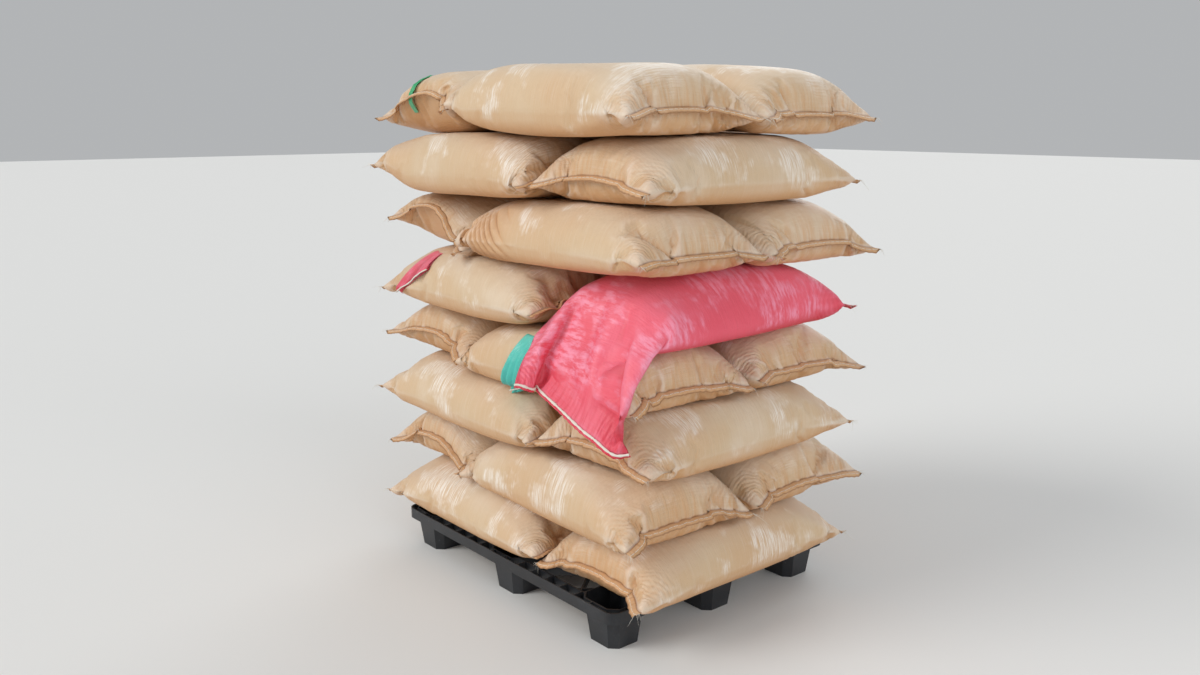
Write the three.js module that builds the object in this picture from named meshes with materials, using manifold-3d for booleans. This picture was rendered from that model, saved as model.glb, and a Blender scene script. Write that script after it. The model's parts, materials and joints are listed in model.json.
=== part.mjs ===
import * as THREE from 'three';
import { mergeVertices } from 'three/addons/utils/BufferGeometryUtils.js';
import Module from 'manifold-3d';

// Millimetres, +Z up. The origin is under the middle of the load, on the ground.

// The pallet: a nestable one with nine feet, moulded in one piece.
const PALLET_LENGTH = 1200;
const PALLET_WIDTH = 1000;
const PALLET_HEIGHT = 140;
const DECK_CORNER_RADIUS = 36;
const RIM_HEIGHT = 38;
const RIM_WALL = 4;
const BAND_WIDTH = 42;
const BAND_WEB_SPACING = 74;
const RIB_HEIGHT = 30;
const RIB_THICKNESS = 4.5;
const CENTRE_RIB_THICKNESS = 6;

// The ribs of the deck: rows along the pallet, and slanted ribs that meet on them. Each quarter mirrors the next.
const ROW_SPACING = 128;
const NODE_SPACING = 214;
const FIRST_NODE = 70;

// The feet: tapered cups, open at the deck, with a rimmed and slotted sole.
const FOOT_SPACING_X = 500;
const FOOT_SPACING_Y = 405;
const FOOT_TOP = { length: 168, width: 158, chamfer: 30 };
const FOOT_TAPER = 0.23;
const FOOT_WALL = 4.5;
const SOLE_RECESS = 6;
const SOLE_THICKNESS = 6;
const SOLE_RIM = 13;
const SLOT = { length: 46, width: 15, spacing: 25, count: 3 };
const SQUARE_HOLE = 34;

// A full sack: woven bags 600 x 1000 mm when flat.
const SACK_LENGTH = 884;
const SACK_WIDTH = 490;
const LAYER_HEIGHT = 200;
const SEAM_THICKNESS = 6;
const SACK_GAP = 10;
const CONTACT_GAP = 0.3;
const PRESSED_EDGE = 0.93;
const FLATTENING = 1.04;
const END_SQUARENESS = 8;
const SIDE_SQUARENESS = 6;
const HEM_PULL = 12;
const SIDE_BULGE = 16;
const EAR_ALONG = 26;
const EAR_ACROSS = 34;
const EAR_DROP = 8;
const TOP_CROWN = 14;
const LINES_ALONG = [-1, -0.955, -0.85, -0.7, -0.38, 0, 0.38, 0.7, 0.85, 0.955, 1];
const LINES_ACROSS = [-1, -0.92, -0.7, 0, 0.7, 0.92, 1];

// The load: eight layers of three, each layer turned end for end on the one below.
const LAYERS = 8;
const LAYER_SHIFT_X = [2, -6, 4, -14, 0, 16, -8, -18];
const LAYER_SHIFT_Y = [0, 5, -6, 3, -4, 6, -3, 4];
const LAYER_TURN_DEG = [0.2, -0.5, 0.6, -0.4, 0.7, -0.6, 0.5, -0.7];

// How high the seams of each layer's front, back and cross sacks lie, as shares of the layer's height.
const SEAM_HEIGHTS = [
  [0.36, 0.36, 0.36],
  [0.34, 0.4, 0.35],
  [0.35, 0.34, 0.38],
  [0.36, 0.36, 0.33],
  [0.35, 0.36, 0.38],
  [0.36, 0.36, 0.35],
  [0.35, 0.36, 0.36],
  [0.38, 0.34, 0.34],
];

// The slack red sack: its empty mouth hangs down over the layer below. The three lines behind the mouth slope
// down to it, each with its place along the sack and the heights of its upper and lower cloth.
const SLACK_LAYER = 5;
const SLACK_REACH = 62;
const SLACK_HANG = 240;
const SLACK_SLANT = 0.42;
const SLACK_NARROWING = 0.88;
const SLACK_LINES = {
  1: { place: -418, top: -28, bottom: -40 },
  2: { place: -346, top: 62, bottom: 0 },
  3: { place: -306, top: 145, bottom: 0 },
};
const CROSS_PLACE_Y = -20;
const SLACK_PLACE_Y = -82;

const BLACK_PLASTIC = { color: 0x24272b, roughness: 0.5, metalness: 0 };
const TAN_WEAVE = { color: 0xd9bb8c, roughness: 0.55, metalness: 0 };
const RED_WEAVE = { color: 0xe8416a, roughness: 0.5, metalness: 0 };
const TEAL_WEAVE = { color: 0x5cd6c4, roughness: 0.5, metalness: 0 };

// Two empty sacks caught between layers. from and to are lines of the surface of the full sack below.
const CLOTH_THICKNESS = 4;
const CLOTH_SEAT = 0.5;
const CLOTH_LIFT = 4;
const CLOTHS = [
  {
    name: 'red_sack_corner', layer: 5, finish: RED_WEAVE,
    from: 3, to: 4, tuck: 0.3, hang: [70, 12], flare: 0.35,
  },
  {
    name: 'teal_sack_corner', layer: 4, finish: TEAL_WEAVE,
    from: 4, to: 5, tuck: 0.3, hang: [88, 104], flare: 0.05,
  },
];

const SMALLEST_DETAIL = 0.06;

const wasm = await Module();
wasm.setup();

function toSolid(geometry) {
  const bare = geometry.clone();
  bare.deleteAttribute('normal');
  bare.deleteAttribute('uv');
  const merged = mergeVertices(bare, 1e-3);
  return new wasm.Manifold(new wasm.Mesh({
    numProp: 3,
    vertProperties: new Float32Array(merged.attributes.position.array),
    triVerts: new Uint32Array(merged.index.array),
  }));
}

// Faces that lie in one plane are joined, so that no sliver is left along a seam between two pieces.
function toGeometry(solid) {
  const mesh = solid.asOriginal().simplify(SMALLEST_DETAIL).getMesh();
  const geometry = new THREE.BufferGeometry();
  geometry.setAttribute('position', new THREE.BufferAttribute(new Float32Array(mesh.vertProperties), 3));
  geometry.setIndex(new THREE.BufferAttribute(new Uint32Array(mesh.triVerts), 1));
  geometry.computeVertexNormals();
  return geometry;
}

function extruded(shape, bottom, height) {
  return new THREE.ExtrudeGeometry(shape, { depth: height, bevelEnabled: false, curveSegments: 4 })
    .translate(0, 0, bottom);
}

function roundedRectangle(length, width, radius) {
  const x = length / 2;
  const y = width / 2;
  const shape = new THREE.Shape();
  shape.moveTo(x, -y + radius);
  shape.lineTo(x, y - radius);
  shape.absarc(x - radius, y - radius, radius, 0, Math.PI / 2);
  shape.lineTo(-x + radius, y);
  shape.absarc(-x + radius, y - radius, radius, Math.PI / 2, Math.PI);
  shape.lineTo(-x, -y + radius);
  shape.absarc(-x + radius, -y + radius, radius, Math.PI, 1.5 * Math.PI);
  shape.lineTo(x - radius, -y);
  shape.absarc(x - radius, -y + radius, radius, 1.5 * Math.PI, 2 * Math.PI);
  return shape;
}

function chamferedRectangle(length, width, chamfer) {
  const x = length / 2;
  const y = width / 2;
  const shape = new THREE.Shape();
  shape.moveTo(x, -y + chamfer);
  shape.lineTo(x, y - chamfer);
  shape.lineTo(x - chamfer, y);
  shape.lineTo(-x + chamfer, y);
  shape.lineTo(-x, y - chamfer);
  shape.lineTo(-x, -y + chamfer);
  shape.lineTo(-x + chamfer, -y);
  shape.lineTo(x - chamfer, -y);
  return shape;
}

// A ring-shaped wall between the outline at one inset from the pallet's edge and the next outline inwards.
function deckRing(inset, thickness, height) {
  const outline = (at) => roundedRectangle(
    PALLET_LENGTH - 2 * at, PALLET_WIDTH - 2 * at, Math.max(DECK_CORNER_RADIUS - at, 8));
  const shape = outline(inset);
  shape.holes.push(outline(inset + thickness));
  return extruded(shape, PALLET_HEIGHT - height, height);
}

// One upright rib of the deck between two points.
function rib(from, to, thickness = RIB_THICKNESS) {
  const length = from.distanceTo(to);
  return new THREE.BoxGeometry(length, thickness, RIB_HEIGHT)
    .rotateZ(Math.atan2(to.y - from.y, to.x - from.x))
    .translate((from.x + to.x) / 2, (from.y + to.y) / 2, PALLET_HEIGHT - RIB_HEIGHT / 2);
}

// The part of a straight line a x + b y = c that lies in one quarter of the deck, or null.
function clippedToQuarter(a, b, c) {
  const places = [
    new THREE.Vector2(0, c / b),
    new THREE.Vector2(REACH_X, (c - a * REACH_X) / b),
    new THREE.Vector2(c / a, 0),
    new THREE.Vector2((c - b * REACH_Y) / a, REACH_Y),
  ].filter((p) => p.x >= 0 && p.x <= REACH_X && p.y >= 0 && p.y <= REACH_Y);
  return places.length === 2 ? places : null;
}

// The ribs run to the middle of the band's inner wall.
const REACH_X = PALLET_LENGTH / 2 - BAND_WIDTH + RIB_THICKNESS / 2;
const REACH_Y = PALLET_WIDTH / 2 - BAND_WIDTH + RIB_THICKNESS / 2;

function quarterRibs() {
  const firstRow = ROW_SPACING / 2;
  const halfSpacing = NODE_SPACING / 2;
  const lines = [];
  for (let y = firstRow; y < REACH_Y - ROW_SPACING / 2; y += ROW_SPACING) {
    lines.push([new THREE.Vector2(0, y), new THREE.Vector2(REACH_X, y)]);
  }
  for (const slope of [1, -1]) {
    const a = ROW_SPACING;
    const b = slope * halfSpacing;
    const first = a * FIRST_NODE + b * firstRow;
    for (let step = -3; step <= 4; step += 1) {
      const line = clippedToQuarter(a, b, first + step * a * NODE_SPACING);
      if (line) {
        lines.push(line);
      }
    }
  }
  return lines;
}

function deckRibs() {
  const ribs = [];
  const lines = quarterRibs();
  for (const mirrorX of [1, -1]) {
    for (const mirrorY of [1, -1]) {
      const mirror = new THREE.Vector2(mirrorX, mirrorY);
      for (const [from, to] of lines) {
        ribs.push(rib(from.clone().multiply(mirror), to.clone().multiply(mirror)));
      }
    }
  }
  ribs.push(rib(new THREE.Vector2(0, -REACH_Y), new THREE.Vector2(0, REACH_Y), CENTRE_RIB_THICKNESS));
  ribs.push(rib(new THREE.Vector2(-REACH_X, 0), new THREE.Vector2(REACH_X, 0), CENTRE_RIB_THICKNESS));
  return ribs;
}

// The short webs between the two walls of the deck's edge band.
function bandWebs() {
  const webs = [];
  const overlap = 1;
  const along = (length) => Math.round((length - 2 * BAND_WIDTH) / BAND_WEB_SPACING);
  const outerX = PALLET_LENGTH / 2 - overlap;
  const outerY = PALLET_WIDTH / 2 - overlap;
  for (const side of [1, -1]) {
    const countX = along(PALLET_LENGTH);
    for (let i = 1; i < countX; i += 1) {
      const x = -REACH_X + (2 * REACH_X * i) / countX;
      webs.push(rib(new THREE.Vector2(x, side * REACH_Y), new THREE.Vector2(x, side * outerY)));
    }
    const countY = along(PALLET_WIDTH);
    for (let i = 1; i < countY; i += 1) {
      const y = -REACH_Y + (2 * REACH_Y * i) / countY;
      webs.push(rib(new THREE.Vector2(side * REACH_X, y), new THREE.Vector2(side * outerX, y)));
    }
  }
  return webs;
}

// A tapered block with cut corners, as wide as the foot at deck height and narrower below.
function taperedBlock(inset, bottom, top) {
  const { length, width, chamfer } = FOOT_TOP;
  const block = extruded(
    chamferedRectangle(length - 2 * inset, width - 2 * inset, chamfer - inset * 0.6), bottom, top - bottom);
  const places = block.attributes.position;
  for (let i = 0; i < places.count; i += 1) {
    const scale = 1 - FOOT_TAPER * (1 - places.getZ(i) / PALLET_HEIGHT);
    places.setXY(i, places.getX(i) * scale, places.getY(i) * scale);
  }
  return block;
}

function soleCuts(column) {
  const cuts = [];
  const height = SOLE_RECESS + SOLE_THICKNESS + 2;
  if (column === 0) {
    cuts.push(new THREE.BoxGeometry(SQUARE_HOLE, SQUARE_HOLE, 4 * height));
    return cuts;
  }
  for (let i = 0; i < SLOT.count; i += 1) {
    const x = (i - (SLOT.count - 1) / 2) * SLOT.spacing;
    cuts.push(new THREE.BoxGeometry(SLOT.width, SLOT.length, 4 * height).translate(x, 0, 0));
  }
  return cuts;
}

function palletGeometry() {
  const edges = [
    deckRing(0, RIM_WALL, RIM_HEIGHT),
    deckRing(BAND_WIDTH - RIB_THICKNESS, RIB_THICKNESS, RIB_HEIGHT),
  ];
  let pallet = wasm.Manifold.union([...edges, ...deckRibs(), ...bandWebs()].map(toSolid));
  const outer = toSolid(taperedBlock(0, 0, PALLET_HEIGHT));
  const inner = toSolid(taperedBlock(FOOT_WALL, SOLE_RECESS + SOLE_THICKNESS, PALLET_HEIGHT + 1));
  const recess = toSolid(taperedBlock(SOLE_RIM, -1, SOLE_RECESS));
  for (const column of [-1, 0, 1]) {
    for (const row of [-1, 0, 1]) {
      const place = [column * FOOT_SPACING_X, row * FOOT_SPACING_Y, 0];
      const cuts = soleCuts(column).map(toSolid);
      const voids = wasm.Manifold.union([inner, recess, ...cuts]);
      pallet = pallet.add(outer.translate(place)).subtract(voids.translate(place));
    }
  }
  return toGeometry(pallet);
}

// How full a sack is from its middle, at 0, to an edge, at 1. A free edge closes to its seam,
// and an edge that is pressed against the next sack keeps an upright wall.
function fullness(at, isFree, squareness) {
  const closing = isFree ? 1 : PRESSED_EDGE;
  return Math.sqrt(1 - closing * Math.abs(at) ** squareness);
}

// A point on a filled sack that lies on z = 0 with its sewn mouth towards -X. along and across run from
// -1 to 1 over the sack, and free says which of its edges are on the load's outside.
function sackPoint({ free, seamHeight, crown }, along, across, isUpper) {
  const height = LAYER_HEIGHT - CONTACT_GAP;
  const endFree = along < 0 ? free.mouth : free.base;
  const sideFree = across < 0 ? free.right : free.left;
  const corner = endFree && sideFree ? Math.abs(along * across) ** 7 : 0;
  const body = Math.min(1, FLATTENING * fullness(along, endFree, END_SQUARENESS)
    * fullness(across, sideFree, SIDE_SQUARENESS));
  const pull = endFree ? HEM_PULL * (1 - across ** 2) * Math.abs(along) ** 6 : 0;
  const bulge = sideFree ? SIDE_BULGE * (1 - along ** 2) * Math.abs(across) ** 3 : 0;
  const seam = seamHeight * height - EAR_DROP * corner;
  const top = seam + SEAM_THICKNESS / 2;
  const bottom = seam - SEAM_THICKNESS / 2;
  return new THREE.Vector3(
    along * (SACK_LENGTH / 2) + Math.sign(along) * (EAR_ALONG * corner - pull),
    across * (SACK_WIDTH / 2) + Math.sign(across) * (EAR_ACROSS * corner + bulge),
    isUpper ? top + (height - top) * body + crown * body ** 2 : bottom * (1 - body));
}

// A slack mouth leans out past the layer below and hangs, lower at its right-hand corner.
function slacken(point, line, across, isUpper) {
  if (line === 0) {
    point.x -= SLACK_REACH;
    point.y *= SLACK_NARROWING;
    point.z -= SLACK_HANG * (1 - SLACK_SLANT * across);
  } else if (line in SLACK_LINES) {
    const { place, top, bottom } = SLACK_LINES[line];
    const open = fullness(across, true, SIDE_SQUARENESS);
    const half = THREE.MathUtils.lerp(SEAM_THICKNESS, top - bottom, open) / 2;
    point.x = place;
    point.z = (top + bottom) / 2 + (isUpper ? half : -half);
  }
}

function closedMesh(geometry) {
  geometry.deleteAttribute('normal');
  geometry.deleteAttribute('uv');
  const merged = mergeVertices(geometry, 1e-3);
  merged.computeVertexNormals();
  return merged;
}

function sackGeometry(sack) {
  const segmentsAlong = LINES_ALONG.length - 1;
  const segmentsAcross = LINES_ACROSS.length - 1;
  const geometry = new THREE.BoxGeometry(2, 2, 2, segmentsAlong, segmentsAcross, 1);
  const places = geometry.attributes.position;
  for (let i = 0; i < places.count; i += 1) {
    const line = Math.round(((places.getX(i) + 1) * segmentsAlong) / 2);
    const across = LINES_ACROSS[Math.round(((places.getY(i) + 1) * segmentsAcross) / 2)];
    const isUpper = places.getZ(i) > 0;
    const point = sackPoint(sack, LINES_ALONG[line], across, isUpper);
    if (sack.isSlack) {
      slacken(point, line, across, isUpper);
    }
    places.setXYZ(i, ...point);
  }
  return closedMesh(geometry);
}

// A piece of an empty sack that lies on a full one's right-hand edge: from under the layer above,
// over the seam, and down by hang, which is longer at one end than at the other.
function clothGeometry(sack, { from, to, tuck, hang, flare }) {
  const geometry = new THREE.BoxGeometry(2, 2, 2, 1, 3, 1);
  const places = geometry.attributes.position;
  for (let i = 0; i < places.count; i += 1) {
    const isFar = places.getX(i) > 0;
    const step = Math.round(((1 - places.getY(i)) * 3) / 2);
    const isOuter = places.getZ(i) > 0;
    const along = LINES_ALONG[isFar ? to : from];
    const point = sackPoint(sack, along, LINES_ACROSS[step > 1 ? 0 : 1], true);
    if (step === 0) {
      point.lerp(sackPoint(sack, along, LINES_ACROSS[2], true), tuck);
    }
    const lift = CLOTH_SEAT + (isOuter ? CLOTH_THICKNESS : 0) + (step > 0 ? CLOTH_LIFT : 0);
    const drop = step === 3 ? hang[isFar ? 1 : 0] : 0;
    const steep = step / 3;
    point.y -= lift * steep + drop * flare;
    point.z += lift * (1 - steep) - drop;
    places.setXYZ(i, ...point);
  }
  return closedMesh(geometry);
}

function addPiece(group, name, geometry, finish) {
  const piece = new THREE.Mesh(geometry, new THREE.MeshStandardMaterial(finish));
  piece.name = name;
  group.add(piece);
}

// One layer: two sacks side by side along the pallet, and one across it beside their ends.
function layerOfSacks(layer) {
  const group = new THREE.Group();
  const index = layer - 1;
  const crossSide = layer % 2 === 1 ? 1 : -1;
  const isSlack = layer === SLACK_LAYER;
  const shape = (number, free) => ({
    free,
    seamHeight: SEAM_HEIGHTS[index][number],
    crown: layer === LAYERS ? TOP_CROWN : 0,
  });
  const front = new THREE.Group();
  const frontShape = shape(0, { mouth: crossSide > 0, base: crossSide < 0, right: true, left: false });
  addPiece(front, `sack_${layer}_front`, sackGeometry(frontShape), TAN_WEAVE);
  const back = new THREE.Group();
  const backShape = shape(1, { mouth: crossSide > 0, base: crossSide < 0, right: false, left: true });
  addPiece(back, `sack_${layer}_back`, sackGeometry(backShape), TAN_WEAVE);
  const cross = new THREE.Group();
  const crossShape = shape(2, { mouth: true, base: true, right: crossSide > 0, left: crossSide < 0 });
  addPiece(cross, `${isSlack ? 'red_sack' : 'sack'}_${layer}_cross`,
    sackGeometry({ ...crossShape, isSlack }), isSlack ? RED_WEAVE : TAN_WEAVE);

  const halfPitch = (SACK_WIDTH + SACK_GAP) / 2;
  front.position.set(-crossSide * halfPitch, -halfPitch, 0);
  back.position.set(-crossSide * halfPitch, halfPitch, 0);
  cross.position.set((crossSide * (SACK_LENGTH + SACK_GAP)) / 2, isSlack ? SLACK_PLACE_Y : CROSS_PLACE_Y, 0);
  cross.rotation.z = Math.PI / 2;
  for (const cloth of CLOTHS.filter((c) => c.layer === layer)) {
    addPiece(front, cloth.name, clothGeometry(frontShape, cloth), cloth.finish);
  }

  group.add(front, back, cross);
  group.position.set(
    LAYER_SHIFT_X[index], LAYER_SHIFT_Y[index],
    PALLET_HEIGHT + CONTACT_GAP + index * LAYER_HEIGHT);
  group.rotation.z = THREE.MathUtils.degToRad(LAYER_TURN_DEG[index]);
  return group;
}

const palletOfSacks = new THREE.Group();

const pallet = new THREE.Mesh(palletGeometry(), new THREE.MeshStandardMaterial(BLACK_PLASTIC));
pallet.name = 'pallet';
palletOfSacks.add(pallet);

for (let layer = 1; layer <= LAYERS; layer += 1) {
  palletOfSacks.add(layerOfSacks(layer));
}

// The load is moved sideways so that the middle of its outline is over the origin.
palletOfSacks.updateMatrixWorld(true);
const middle = new THREE.Box3().setFromObject(palletOfSacks, true).getCenter(new THREE.Vector3());
palletOfSacks.position.set(-middle.x, -middle.y, 0);
palletOfSacks.updateMatrixWorld(true);

export default palletOfSacks;
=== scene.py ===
import json
import math

import bmesh
import bpy
import numpy as np
from mathutils import Matrix, Vector
from mathutils.bvhtree import BVHTree

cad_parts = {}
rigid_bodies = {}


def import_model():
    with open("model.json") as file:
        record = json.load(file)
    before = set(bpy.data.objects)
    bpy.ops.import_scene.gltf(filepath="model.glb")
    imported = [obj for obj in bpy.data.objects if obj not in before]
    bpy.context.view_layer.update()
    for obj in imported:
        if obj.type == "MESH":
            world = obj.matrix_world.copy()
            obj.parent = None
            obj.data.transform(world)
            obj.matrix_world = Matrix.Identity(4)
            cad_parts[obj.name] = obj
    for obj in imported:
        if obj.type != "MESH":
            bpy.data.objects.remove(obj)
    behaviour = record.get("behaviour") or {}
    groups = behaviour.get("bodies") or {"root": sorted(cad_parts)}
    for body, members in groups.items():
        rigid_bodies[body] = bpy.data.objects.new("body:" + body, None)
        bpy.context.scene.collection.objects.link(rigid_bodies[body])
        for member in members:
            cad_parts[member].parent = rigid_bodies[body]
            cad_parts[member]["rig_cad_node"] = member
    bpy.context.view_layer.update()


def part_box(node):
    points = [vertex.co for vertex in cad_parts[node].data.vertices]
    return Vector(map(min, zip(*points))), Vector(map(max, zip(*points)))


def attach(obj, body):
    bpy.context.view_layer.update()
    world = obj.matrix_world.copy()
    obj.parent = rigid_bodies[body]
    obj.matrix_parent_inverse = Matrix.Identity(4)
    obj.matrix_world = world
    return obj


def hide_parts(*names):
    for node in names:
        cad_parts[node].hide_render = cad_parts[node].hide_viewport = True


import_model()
scene = bpy.context.scene


# The view: from eye height, past the load's left-hand corner, and looking a little down, so that two of its
# sides and the pallet's near feet show.
LOAD_MIDDLE = (0, 0, 0.83)


def aimed(thing, place, target):
    """Links a camera or light at place, turned towards target."""
    thing.location = place
    thing.rotation_euler = (Vector(target) - Vector(place)).to_track_quat("-Z", "Y").to_euler()
    scene.collection.objects.link(thing)


VIEW_AZIMUTH = math.radians(50)
VIEW_DISTANCE = 3.7
VIEW_HEIGHT = 1.6
camera_data = bpy.data.cameras.new("camera")
camera_data.sensor_width = 36
camera_data.lens = 32
camera = bpy.data.objects.new("camera", camera_data)
aimed(
    camera,
    (VIEW_DISTANCE * math.sin(VIEW_AZIMUTH), -VIEW_DISTANCE * math.cos(VIEW_AZIMUTH), VIEW_HEIGHT),
    LOAD_MIDDLE,
)
scene.camera = camera
scene.view_settings.view_transform = "Standard"


# The room: a pale floor, soft light from the door side on the left, weaker light from the right and from
# behind, and an even sky.
FLOOR_SIZE = 80


def new_mesh(name, bm):
    """A mesh of what the bmesh holds, which is then freed."""
    mesh = bpy.data.meshes.new(name)
    bm.to_mesh(mesh)
    bm.free()
    return mesh


def new_object(name, mesh, *finishes):
    """Links an object of this mesh, in these materials."""
    for finish in finishes:
        mesh.materials.append(finish)
    made = bpy.data.objects.new(name, mesh)
    scene.collection.objects.link(made)
    return made


pale_floor = bpy.data.materials.new("pale_floor")
pale_floor.use_nodes = True
floor_shader = pale_floor.node_tree.nodes["Principled BSDF"]
floor_shader.inputs["Base Color"].default_value = (0.8, 0.8, 0.79, 1)
floor_shader.inputs["Roughness"].default_value = 0.85
bm = bmesh.new()
bmesh.ops.create_grid(bm, x_segments=1, y_segments=1, size=FLOOR_SIZE / 2)
new_object("floor", new_mesh("floor", bm), pale_floor)


LIGHTS_AIM = (0, 0, 0.9)


def soft_light(name, place, strength, spread, colour):
    """Even light from the direction of place, with shadows that blur as from a source spread degrees wide."""
    data = bpy.data.lights.new(name, "SUN")
    data.energy = strength
    data.angle = math.radians(spread)
    data.color = colour
    aimed(bpy.data.objects.new(name, data), place, LIGHTS_AIM)


soft_light("door_light", (-1.8, -4.2, 3.6), strength=1.62, spread=34, colour=(1.0, 0.985, 0.95))
soft_light("side_light", (4.4, -0.6, 2.6), strength=0.95, spread=50, colour=(0.96, 0.98, 1.0))
soft_light("back_light", (-2.5, 4.5, 3.5), strength=0.6, spread=40, colour=(1.0, 0.99, 0.97))
sky = bpy.data.worlds.new("sky")
sky.use_nodes = True
sky.node_tree.nodes["Background"].inputs["Color"].default_value = (0.86, 0.88, 0.9, 1)
sky.node_tree.nodes["Background"].inputs["Strength"].default_value = 0.52
scene.world = sky


class Shade:
    """A value in a material: operators on it add Math nodes, and node() adds any other node."""

    def __init__(self, tree, socket=None):
        self.tree = tree
        self.socket = socket

    def node(self, kind, settings, sockets, output=0):
        """Adds a node of this kind, and gives one of its outputs."""
        made = self.tree.nodes.new("ShaderNode" + kind)
        for name, value in settings.items():
            setattr(made, name, value)
        for name, value in sockets.items():
            if isinstance(value, Shade):
                self.tree.links.new(value.socket, made.inputs[name])
            else:
                made.inputs[name].default_value = value
        return Shade(self.tree, made.outputs[output])

    def maths(self, operation, *values):
        """A Math node on the values given, or else on this value."""
        return self.node("Math", {"operation": operation}, dict(enumerate(values or (self,))))

    def __add__(self, other):
        return self.maths("ADD", self, other)

    def __radd__(self, other):
        return self.maths("ADD", other, self)

    def __sub__(self, other):
        return self.maths("SUBTRACT", self, other)

    def __rsub__(self, other):
        return self.maths("SUBTRACT", other, self)

    def __mul__(self, other):
        return self.maths("MULTIPLY", self, other)

    def __rmul__(self, other):
        return self.maths("MULTIPLY", other, self)

    def ramp(self, low, high):
        """0 below low, 1 above high, and smooth between."""
        return self.node("MapRange", {"interpolation_type": "SMOOTHSTEP"}, {"Value": self, 1: low, 2: high})

    def tinted(self, colour, amount):
        """This colour, turned towards another by an amount from 0 to 1."""
        return self.node(
            "Mix", {"data_type": "RGBA", "clamp_factor": True}, {0: amount, 6: self, 7: colour}, output=2
        )

    def noise(self, size, detail, roughness):
        """Noise over this vector, whose blotches are about size of its units across."""
        sockets = {"Vector": self, "Scale": 1 / size, "Detail": detail, "Roughness": roughness}
        return self.node("TexNoise", {}, sockets)

    def stretched(self, *scale):
        """This vector, along each axis times its scale."""
        return self.node("Mapping", {}, {"Vector": self, "Scale": scale})


def new_finish(name):
    """A new material, a way to paint in it, and its shader."""
    material = bpy.data.materials.new(name)
    material.use_nodes = True
    return material, Shade(material.node_tree), material.node_tree.nodes["Principled BSDF"]


def feed(shader, name, value):
    """Sets one of the shader's sockets to a value, or links it."""
    if isinstance(value, Shade):
        value.tree.links.new(value.socket, shader.inputs[name])
    else:
        shader.inputs[name].default_value = value


# The pallet: one piece, moulded in black polypropylene. Its ribs, feet and rim are the frame's own solid, and
# only the finish is added: a fine grain, and scuffs, dust and small pale chips from forks and sacks.
black_plastic, paint, shader = new_finish("black_plastic")
place = paint.node("TexCoord", {}, {}, output=3)
facing_up = paint.node("SeparateXYZ", {}, {0: paint.node("NewGeometry", {}, {}, output=1)}, output=2)
dust = place.noise(0.11, 5, 0.62).ramp(0.42, 0.72) * (facing_up.ramp(-0.2, 0.9) * 0.7 + 0.3)
scratches = place.stretched(1, 9, 4).noise(0.05, 6, 0.7).ramp(0.6, 0.72)
chips = place.noise(0.012, 3, 0.6).ramp(0.74, 0.8)
colour = paint.node("RGB", {}, {})
colour.socket.default_value = (0.013, 0.0145, 0.018, 1)
colour = colour.tinted((0.075, 0.08, 0.088, 1), dust * 0.7)
colour = colour.tinted((0.12, 0.125, 0.13, 1), scratches * 0.4)
colour = colour.tinted((0.42, 0.41, 0.38, 1), chips * 0.8)
feed(shader, "Base Color", colour)
feed(shader, "Roughness", 0.36 + dust * 0.3 + scratches * 0.12)
grain = place.noise(0.0022, 2, 0.5) + scratches * -0.5
feed(shader, "Normal", paint.node("Bump", {}, {"Strength": 0.35, "Distance": 0.0006, "Height": grain}))
pallet = next(o for o in scene.objects if o.get("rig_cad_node") == "pallet")
pallet.data.materials.clear()
pallet.data.materials.append(black_plastic)


# Full sacks. Each is a tube of woven polypropylene tape, 610 mm wide when flat, that is sewn across at the
# base and, once it is full of grain, across the mouth. Each end of a seam leaves an empty corner, or ear.
SEWN_LENGTH = 0.965
FLAT_WIDTH = 0.61
LAYER_HEIGHT = 0.2
HALF_LENGTH = 0.442
HALF_WIDTH = 0.245
FINE_ROWS = 56
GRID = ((84, FINE_ROWS))
SETTLING_FRAMES = 22
FLAT_LOFT = 0.05
GATHER_REACH = 0.05
BOARD_SIZE = 1.6
SMALL_BOARD_SIZE = 1.4
BOARD_THICKNESS = 0.002
BOARD_GAP = 0.003
TOP_HEADROOM = 0.014
FULL_TURN = 6.28
UPPER, LOWER = 0, 1


def flat_sack(name, seed, length=SEWN_LENGTH):
    """An empty sack, a little open: two layers of cloth that share their outer edge. Its mouth is at -X."""
    bm = bmesh.new()
    uv = bm.loops.layers.uv.new("flat")
    column = bm.verts.layers.int.new("column")
    row = bm.verts.layers.int.new("row")
    side = bm.verts.layers.int.new("side")
    bmesh.ops.create_grid(bm, x_segments=GRID[0], y_segments=GRID[1], size=0.5)
    bmesh.ops.scale(bm, vec=(length, FLAT_WIDTH, 1), verts=bm.verts)
    copied = bmesh.ops.duplicate(bm, geom=bm.verts[:] + bm.edges[:] + bm.faces[:])["geom"]
    lower = {e for e in copied if isinstance(e, bmesh.types.BMVert)}
    bmesh.ops.reverse_faces(bm, faces=[e for e in copied if isinstance(e, bmesh.types.BMFace)])
    rng = np.random.default_rng(seed)
    waves = [(rng.uniform(4, 16), rng.uniform(4, 16), rng.uniform(0, FULL_TURN)) for _ in range(6)]
    for v in bm.verts:
        x, y = v.co.x, v.co.y
        v[column] = round((x / length + 0.5) * GRID[0])
        v[row] = round((y / FLAT_WIDTH + 0.5) * GRID[1])
        v[side] = LOWER if v in lower else UPPER
        open_here = max((1 - (2 * x / length) ** 2) * (1 - (2 * y / FLAT_WIDTH) ** 2), 0)
        uneven = sum(math.sin(a * x + b * y + c) for a, b, c in waves) / len(waves)
        v.co.z = (-1 if v in lower else 1) * FLAT_LOFT * open_here * (1 + 0.6 * uneven)
    for face in bm.faces:
        for loop in face.loops:
            loop[uv].uv = (
                (loop.vert[column] / GRID[0] - 0.5) * SEWN_LENGTH,
                (loop.vert[row] / GRID[1] - 0.5) * FLAT_WIDTH,
            )
    bmesh.ops.remove_doubles(bm, verts=bm.verts, dist=1e-5)
    return new_object(name, new_mesh(name, bm))


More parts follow.
